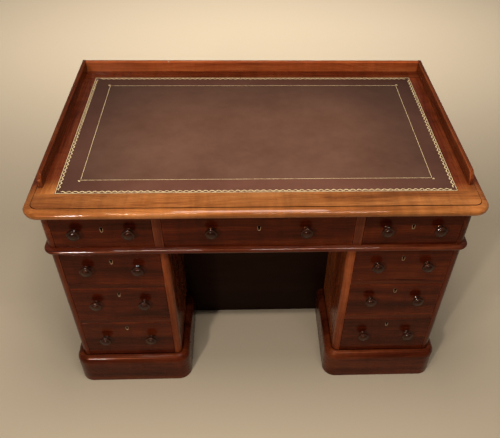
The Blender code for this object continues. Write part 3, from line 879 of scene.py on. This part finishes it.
RED_BORDER = ((0.036, 0.0050, 0.0016), (0.070, 0.0120, 0.0036), (0.118, 0.028, 0.0080))
# Paler colours for the front rail: partly wood bleached by light and handling, partly painted sheen and
# light.
BLEACHED_AND_SHEEN = ((0.120, 0.032, 0.0065), (0.225, 0.070, 0.0150), (0.330, 0.122, 0.0330))
inner_x = skiver_high.x + CLEARANCE
front_y = skiver_low.y - CLEARANCE
back_y = skiver_high.y + CLEARANCE
rails = {
    "front": ((low.x, high.x, low.y, front_y), (TOP_CORNER, TOP_CORNER), (1, 1, 1, 0)),
    "back": ((low.x, high.x, back_y, high.y), (SQUARE, SQUARE), (1, 1, 0, 0)),
    "left": ((low.x, -inner_x, front_y + JOINT, back_y - JOINT), (SQUARE, SQUARE), (1, 0, 0, 0)),
    "right": ((inner_x, high.x, front_y + JOINT, back_y - JOINT), (SQUARE, SQUARE), (0, 1, 0, 0)),
}
for number, (place, (box, front_radii, sides)) in enumerate(rails.items()):
    rail = stacked(box, front_radii + (SQUARE, SQUARE), nose, sides=sides, steps=20)
    if place == "front":
        finish = mahogany("top_polish_front", "x", 601, BLEACHED_AND_SHEEN, figure=0.15, polish=0.4)
    elif place == "back":
        finish = mahogany("top_polish_back", "x", 607, RED_BORDER, figure=0.2)
    else:
        # The ends turn to the paler colours towards the front: painted light where the shade beside the
        # gallery stops.
        finish = mahogany("top_polish_" + place, "y", 611 + number, RED_BORDER, figure=0.2,
                          faded=(BLEACHED_AND_SHEEN, -0.25, -0.325))
    piece("top_rail_" + place, [rail], [finish], "carcass", ["top_board"] if number == 0 else ())

ground = board((-inner_x + JOINT, front_y + JOINT, low.z),
               (inner_x - JOINT, back_y - JOINT, skiver_low.z - GROUND_DROP), ease=0.0005)
piece("top_ground", [ground], [pine("ground_pine", "x", 631)], "carcass")


# ----------------------------------------------------------
# Leather. A skiver of brown hide, dyed with a redder margin, is pasted down on the ground board
# flush with the rails. Gold leaf is tooled into it: a running border at the edge, and a single
# fillet with small corner buds further in.

MARGIN_LINE_X = 0.4785
MARGIN_LINE_LOW = -0.2455
MARGIN_LINE_HIGH = 0.271


def skiver_hide(name):
    """Aged hide: a pebbled grain of small cells, creases, cloudy handling marks, a redder margin
    outside the inner fillet, and painted shade that darkens it towards the ends and the back."""
    made, tree, shader, place = new_material(name)
    middle_y = (MARGIN_LINE_LOW + MARGIN_LINE_HIGH) / 2
    half_y = (MARGIN_LINE_HIGH - MARGIN_LINE_LOW) / 2
    parts = node(tree, "SeparateXYZ", {0: place})
    off_x = arithmetic(tree, "SUBTRACT", arithmetic(tree, "ABSOLUTE", parts.outputs[0]), MARGIN_LINE_X)
    from_middle = arithmetic(tree, "ABSOLUTE", arithmetic(tree, "SUBTRACT", parts.outputs[1], middle_y))
    off_y = arithmetic(tree, "SUBTRACT", from_middle, half_y)
    outside = between(tree, arithmetic(tree, "MAXIMUM", off_x, off_y), -0.002, 0.002)
    clouds = noise(tree, place, (4.0, 5.0, 4.0), 4.0, 0.55)
    rubbed = noise(tree, place, (30.0, 30.0, 30.0), 4.0, 0.65)
    tone = weighed(tree, clouds, 0.7, rubbed, 0.3)
    middle = ramp(tree, tone, (0.34, (0.093, 0.037, 0.021)), (0.66, (0.128, 0.056, 0.032)))
    margin = ramp(tree, tone, (0.34, (0.096, 0.033, 0.019)), (0.66, (0.130, 0.048, 0.027)))
    hide = blend(tree, outside, middle, margin)
    # Painted shade: the hide is darkened towards both ends and towards the back.
    sides = between(tree, off_x, -0.22, 0.06, 1.0, 0.54)
    back = between(tree, parts.outputs[1], 0.05, 0.33, 1.0, 0.50)
    colour = brightened(tree, hide, arithmetic(tree, "MULTIPLY", sides, back))
    cells = node(tree, "TexVoronoi", {"Vector": place, "Scale": 900.0}, feature="F1").outputs[0]
    fine = noise(tree, place, (2600.0,) * 3, 1.0)
    creases = noise(tree, place, (140.0, 90.0, 90.0), 3.0, 0.6, 0.8)
    pebble = arithmetic(tree, "ADD", cells, arithmetic(tree, "MULTIPLY", fine, 0.4))
    height = arithmetic(tree, "SUBTRACT", arithmetic(tree, "MULTIPLY", creases, 0.8), pebble)
    feed(tree, shader, {
        "Base Color": brightened(tree, colour, between(tree, pebble, 0.1, 0.9, 1.1, 0.86)),
        "Roughness": between(tree, tone, 0.35, 0.65, 0.36, 0.50),
        "Specular IOR Level": 0.35,
        "Normal": bumped(tree, height, 0.35, 0.0002),
    })
    return made


piece("leather_hide", [board(skiver_low, skiver_high, ease=0.0003)], [skiver_hide("skiver_hide")],
      "carcass", ["leather_skiver"])

LEAF_LOW = skiver_high.z - 0.0001
LEAF_HIGH = skiver_high.z + 0.00006
EDGE_LINE = 0.0018
EDGE_LINE_WIDTH = 0.0013
WAVE_LINE = 0.0078
WAVE_REACH = 0.0030
WAVE_PITCH = 0.0170
WAVE_WIDTH = 0.0017
HOLLOW_FOOT = 0.0003
HOLLOW_BUD = np.array([[0.0004], [0.0013], [0.0024], [0.0031]])
HOLLOW_BUD_WIDTH = np.array([0.0004, 0.0022, 0.0019, 0.0003])
FILLET_WIDTH = 0.0010
BUD_LENGTH = 0.0085
BUD_SPLAY = 0.45
SIDE_BUD_SHARE = 0.75


def leaf_strip(path, width, looped=False):
    """A strip of gold leaf along a path on the leather: at each point the path's own normal, times
    half the width, gives both edges, and each has a top and a bottom."""
    path = np.asarray(path, float)
    if looped:
        ahead = np.roll(path, -1, 0) - path
        behind = path - np.roll(path, 1, 0)
    else:
        ahead = np.diff(path, axis=0, append=2 * path[-1:] - path[-2:-1])
        behind = np.diff(path, axis=0, prepend=2 * path[:1] - path[1:2])
    ahead /= np.linalg.norm(ahead, axis=1, keepdims=True)
    behind /= np.linalg.norm(behind, axis=1, keepdims=True)
    normal = np.stack([-(ahead + behind)[:, 1], (ahead + behind)[:, 0]], 1)
    normal /= (normal**2).sum(1, keepdims=True) / 2
    half = np.broadcast_to(width, (len(path),))[:, None] / 2
    left, right = path + normal * half, path - normal * half
    low, high = np.full((len(path), 1), LEAF_LOW), np.full((len(path), 1), LEAF_HIGH)
    corners = [(left, low), (right, low), (right, high), (left, high)]
    rings = np.stack([np.concatenate(corner, 1) for corner in corners], 1)
    return closed_solid(rings, 0.0, looped)


def frame_path(inset):
    """The four corners of the leather's rectangle, drawn in by an inset."""
    x = skiver_high.x - inset
    y_low, y_high = skiver_low.y + inset, skiver_high.y - inset
    return np.array([(-x, y_low), (x, y_low), (x, y_high), (-x, y_high)])


def running_scroll(start, end):
    """A wave between two corners with a whole number of turns, offset from the line between them
    by a sine, and a small bud in the hollow of each half turn."""
    run = end - start
    length = np.linalg.norm(run)
    along = run / length
    across = np.array([-along[1], along[0]])
    inside = length - 2 * WAVE_LINE
    turns = round(inside / WAVE_PITCH)
    share = np.linspace(0.0, 1.0, turns * 12 + 1)
    distance = WAVE_LINE + share * inside
    sway = WAVE_REACH * np.sin(2 * np.pi * turns * share)
    wave = start + distance[:, None] * along + sway[:, None] * across
    swell = WAVE_WIDTH * (0.8 + 0.45 * np.cos(4 * np.pi * turns * share))
    strips = [leaf_strip(wave, swell)]
    half_turns = (np.arange(2 * turns) + 0.5) / (2 * turns)
    for number, place in enumerate(half_turns):
        lean = -1 if number % 2 == 0 else 1
        foot = start + (WAVE_LINE + place * inside) * along + lean * HOLLOW_FOOT * across
        strips.append(leaf_strip(foot - HOLLOW_BUD * lean * across, HOLLOW_BUD_WIDTH))
    return strips


def gold_leaf(name):
    """Gold leaf pressed into hide: bright where it holds, brown where it has rubbed away."""
    made, tree, shader, place = new_material(name)
    rubbed = between(tree, noise(tree, place, (120.0,) * 3, 4.0, 0.65), 0.48, 0.66)
    colour = blend(tree, rubbed, (0.95, 0.76, 0.42, 1), (0.50, 0.32, 0.16, 1))
    feed(tree, shader, {
        "Base Color": colour,
        "Roughness": between(tree, rubbed, 0.0, 1.0, 0.30, 0.55),
        "Metallic": 0.3,
        "Normal": bumped(tree, rubbed, 0.3, 0.00005),
    })
    return made


leaf = gold_leaf("gold_leaf")
scroll_corners = frame_path(WAVE_LINE)
border = [leaf_strip(frame_path(EDGE_LINE), EDGE_LINE_WIDTH, looped=True)]
for start, end in zip(scroll_corners, np.roll(scroll_corners, -1, 0)):
    border += running_scroll(start, end)
piece("gilt_border", border, [leaf], "carcass")

fillet = np.array([
    (-MARGIN_LINE_X, MARGIN_LINE_LOW), (MARGIN_LINE_X, MARGIN_LINE_LOW),
    (MARGIN_LINE_X, MARGIN_LINE_HIGH), (-MARGIN_LINE_X, MARGIN_LINE_HIGH),
])
marks = [leaf_strip(fillet, FILLET_WIDTH, looped=True)]
middle = fillet.mean(0)
for corner in fillet:
    away = np.sign(corner - middle) / np.sqrt(2)
    aside = np.array([-away[1], away[0]])
    reach = np.linspace(0.0, 1.0, 9)[:, None]
    for lean in (-1, 0, 1):
        stem = corner + BUD_LENGTH * (1.0 if lean == 0 else SIDE_BUD_SHARE) * reach * away
        stem = stem + lean * BUD_SPLAY * BUD_LENGTH * reach**2 * aside
        marks.append(leaf_strip(stem, 0.0006 + 0.0019 * np.sin(np.pi * reach[:, 0] ** 1.4)))
piece("gilt_fillet", marks, [leaf], "carcass")


# ----------------------------------------------------------
# Gallery. A low upstand of polished mahogany on the back and the ends of the top: two end boards
# with a rounded front, and a back board between them, their top edges rounded.

GALLERY_ROUND = 0.0036
END_ROUND = 0.030

# Two copies of one mahogany: darker for the end boards and much lighter for the back board, as painted
# shade and painted light.
GALLERY = ((0.045, 0.0070, 0.0020), (0.085, 0.0170, 0.0045), (0.135, 0.0350, 0.0095))
LIT_GALLERY_BACK = ((0.120, 0.0200, 0.0055), (0.220, 0.0450, 0.0110), (0.300, 0.0800, 0.0220))

for side, sign in SIDES:
    low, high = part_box("gallery_" + side)
    upstand = board(low, high, GALLERY_ROUND, (SQUARE, SQUARE, SQUARE, END_ROUND), axis="x",
                    sides=(1, 0, 0, 1), steps=16)
    piece("gallery_end_" + side, [upstand],
          [mahogany("gallery_polish_" + side, "y", 703 + sign, GALLERY)],
          "carcass", ["gallery_" + side])
low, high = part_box("gallery_back")
upstand = board(low, high, GALLERY_ROUND, (SQUARE,) * 4, axis="y", sides=(0, 1, 0, 0))
piece("gallery_back_board", [upstand], [mahogany("gallery_polish_back", "x", 709, LIT_GALLERY_BACK)],
      "carcass", ["gallery_back"])


# ----------------------------------------------------------
# Floor, lights and camera. A plain pale floor, and soft studio light from above and in front, with
# one lamp behind the desk that lights the floor beyond it. The sky gives more light from high up
# than from the horizon, and is an even pale tone where the camera sees it.

FLOOR_REACH = 14.0
FLOOR_COLOUR = (0.37, 0.30, 0.215, 1)
SKY_TINT = (1.0, 0.97, 0.92)
LAMP_TINT = (1.0, 0.95, 0.88)
HORIZON_LIGHT = 0.05
HIGH_LIGHT = 0.24
SHOWN_LIGHT = 0.62

floor_mesh = bpy.data.meshes.new("floor")
corners = [(-FLOOR_REACH, -FLOOR_REACH, 0), (FLOOR_REACH, -FLOOR_REACH, 0),
           (FLOOR_REACH, FLOOR_REACH, 0), (-FLOOR_REACH, FLOOR_REACH, 0)]
floor_mesh.from_pydata(corners, [], [(0, 1, 2, 3)])
floor = bpy.data.objects.new("floor", floor_mesh)
bpy.context.scene.collection.objects.link(floor)
pale = bpy.data.materials.new("pale_floor")
pale.use_nodes = True
feed(pale.node_tree, pale.node_tree.nodes["Principled BSDF"],
     {"Base Color": FLOOR_COLOUR, "Roughness": 0.9, "Specular IOR Level": 0.1})
floor_mesh.materials.append(pale)

world = bpy.data.worlds.new("studio")
world.use_nodes = True
sky = world.node_tree
upward = node(sky, "SeparateXYZ", {0: node(sky, "TexCoord").outputs["Generated"]}).outputs["Z"]
lit = between(sky, upward, 0.0, 0.8, HORIZON_LIGHT, HIGH_LIGHT)
seen = node(sky, "LightPath").outputs["Is Camera Ray"]
shown = node(sky, "Mix", {0: seen, 2: lit, 3: SHOWN_LIGHT}).outputs[0]
feed(sky, sky.nodes["Background"], {"Color": (*SKY_TINT, 1), "Strength": shown})
bpy.context.scene.world = world
bpy.context.scene.view_settings.view_transform = "Standard"


def soft_light(name, place, tilt, size, power, colour):
    """A rectangular soft light, pointing straight down before its tilt about x and y."""
    data = bpy.data.lights.new(name, "AREA")
    data.shape = "RECTANGLE"
    data.size, data.size_y = size
    data.energy = power
    data.color = colour
    light = bpy.data.objects.new(name, data)
    light.location = place
    light.rotation_euler = np.radians((*tilt, 0.0))
    bpy.context.scene.collection.objects.link(light)


soft_light("front_strip_left", (-0.62, -1.35, 2.7), (27.0, 10.0), (0.6, 0.05), 17, LAMP_TINT)
soft_light("front_strip_right", (0.45, -1.35, 2.7), (27.0, -10.0), (0.9, 0.05), 21, LAMP_TINT)
soft_light("overhead", (0.0, -0.2, 3.0), (3.0, 0.0), (1.0, 1.0), 46, (1.0, 0.94, 0.86))
soft_light("low_front_left", (-1.3, -2.8, 2.05), (58.0, -43.0), (0.24, 0.16), 54, LAMP_TINT)
soft_light("backdrop_wash", (0.0, 1.7, 2.2), (60.0, 0.0), (3.4, 0.6), 190, SKY_TINT)

camera_data = bpy.data.cameras.new("camera")
camera_data.sensor_width = 36.0
camera_data.lens = 41.84
camera_data.shift_x = -0.0343
camera_data.shift_y = 0.0790
camera = bpy.data.objects.new("camera", camera_data)
camera.location = (-0.0401, -1.5226, 1.7099)
camera.rotation_euler = np.radians((45.295, -1.068, -2.077))
bpy.context.scene.collection.objects.link(camera)
bpy.context.scene.camera = camera
